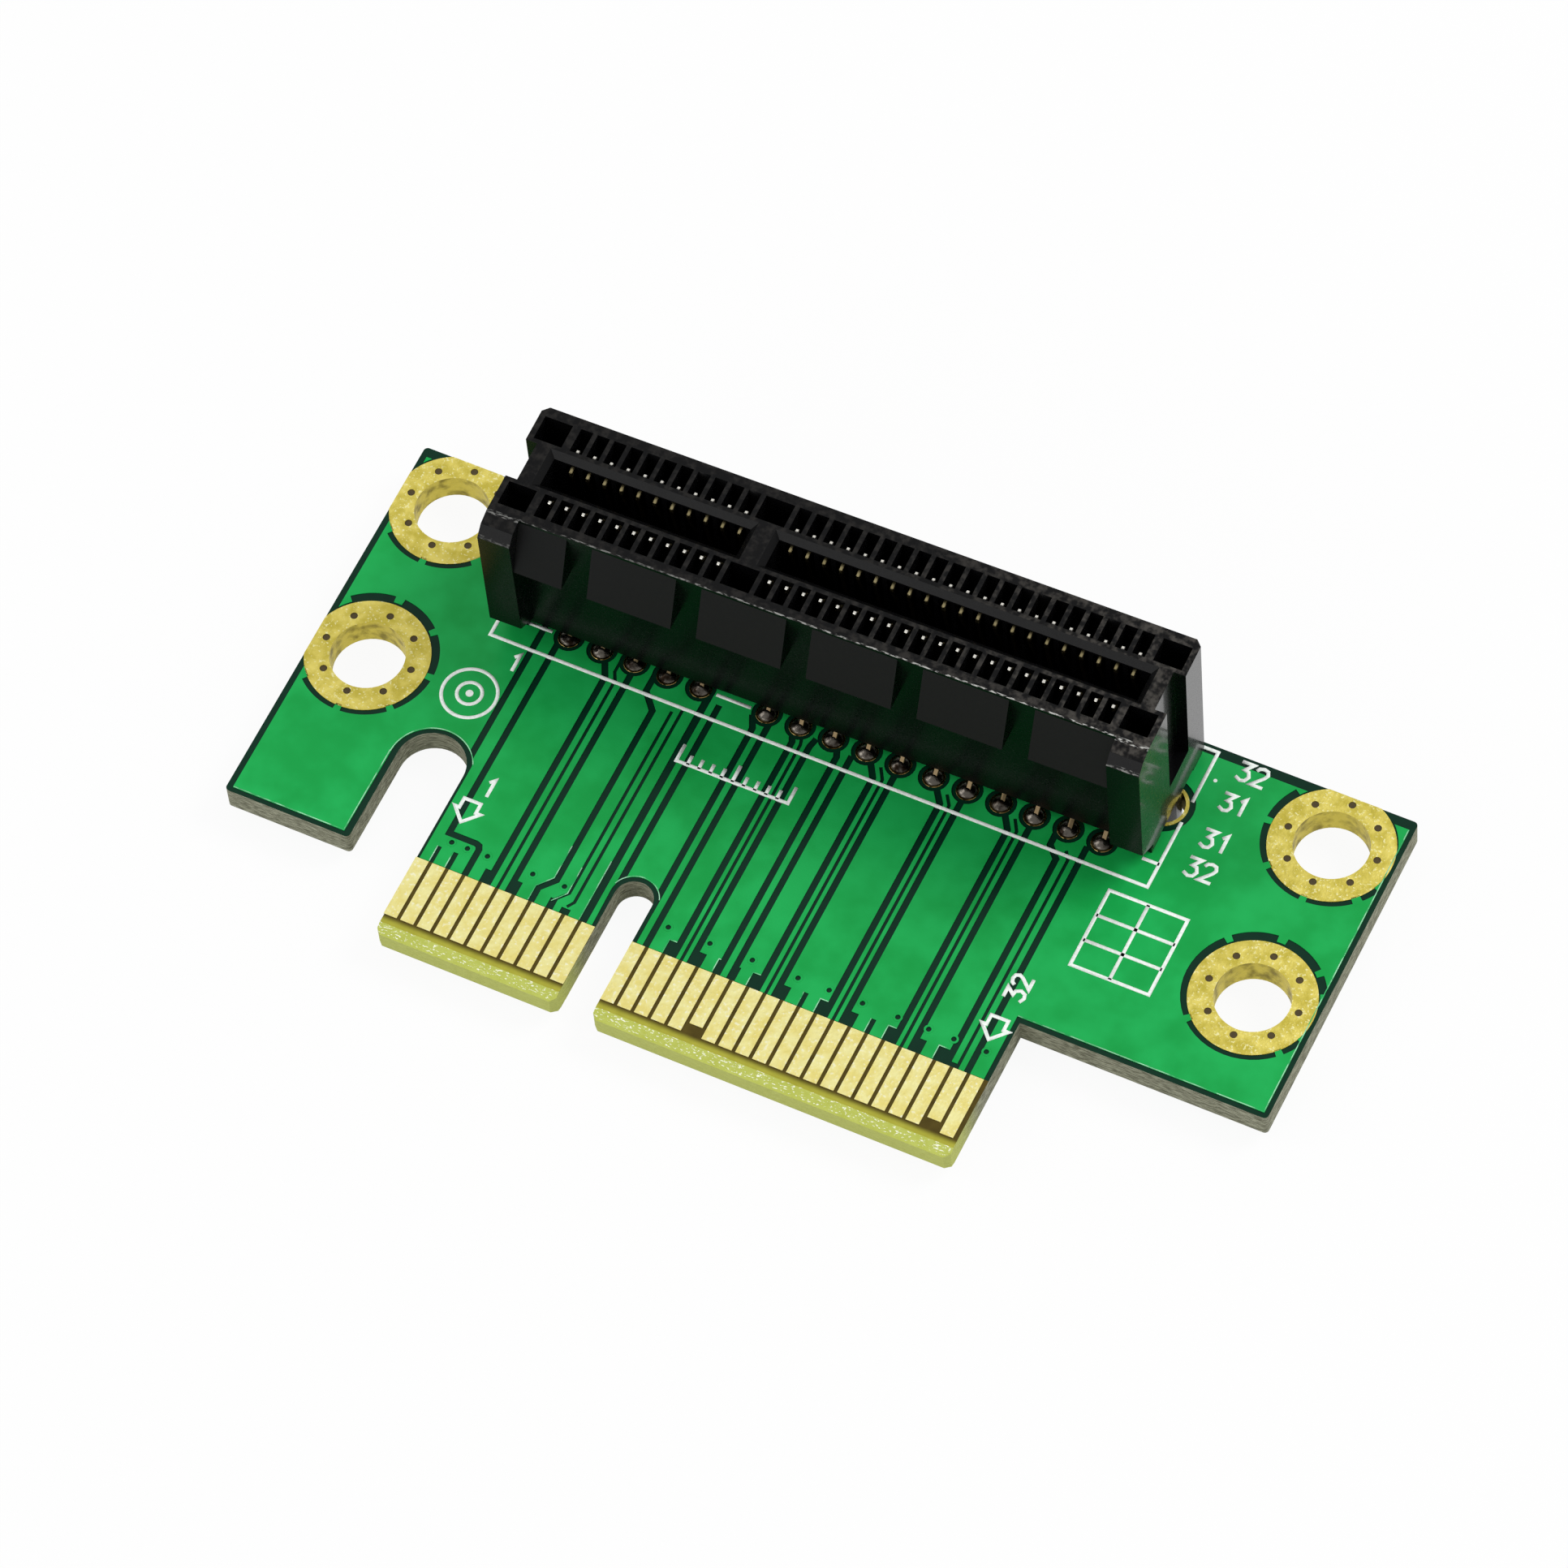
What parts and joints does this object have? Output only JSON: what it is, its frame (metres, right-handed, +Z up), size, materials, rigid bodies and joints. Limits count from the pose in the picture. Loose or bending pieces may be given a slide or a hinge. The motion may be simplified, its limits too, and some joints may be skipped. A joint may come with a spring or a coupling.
{
  "type": "pcie riser card",
  "caption": "Small circuit board with a gold card edge and one upright edge connector that carries an expansion card clear of a server's main board.",
  "frame": {"origin": "centre of the four mounting holes on the board's underside", "axes": "+X along the card edge from the first finger to the last, +Y to the board's back edge, +Z up through the connector"},
  "size_m": [0.0599, 0.0287, 0.0137],
  "materials": {
    "laminate": "glass-epoxy board under glossy green solder mask",
    "gold_plating": "thin gold over nickel and copper",
    "black_moulding": "black glass-filled moulding, satin to glossy",
    "contact_metal": "tin and gold over phosphor bronze",
    "solder": "bright tin solder"
  },
  "bodies": {
    "root": {"board": "laminate", "mounting_land_left_back": "gold_plating", "mounting_land_left_front": "gold_plating", "mounting_land_right_back": "gold_plating", "mounting_land_right_front": "gold_plating", "peg_ring_left": "gold_plating", "peg_ring_right": "gold_plating", "fingers_front_short": "gold_plating", "fingers_front_long": "gold_plating", "fingers_back_short": "gold_plating", "fingers_back_long": "gold_plating", "connector_housing": "black_moulding", "contacts_front_outer": "contact_metal", "contacts_front_inner": "contact_metal", "contacts_back_outer": "contact_metal", "contacts_back_inner": "contact_metal", "solder_front_outer": "solder", "solder_front_inner": "solder", "solder_back_outer": "solder", "solder_back_inner": "solder"}
  },
  "joints": []
}
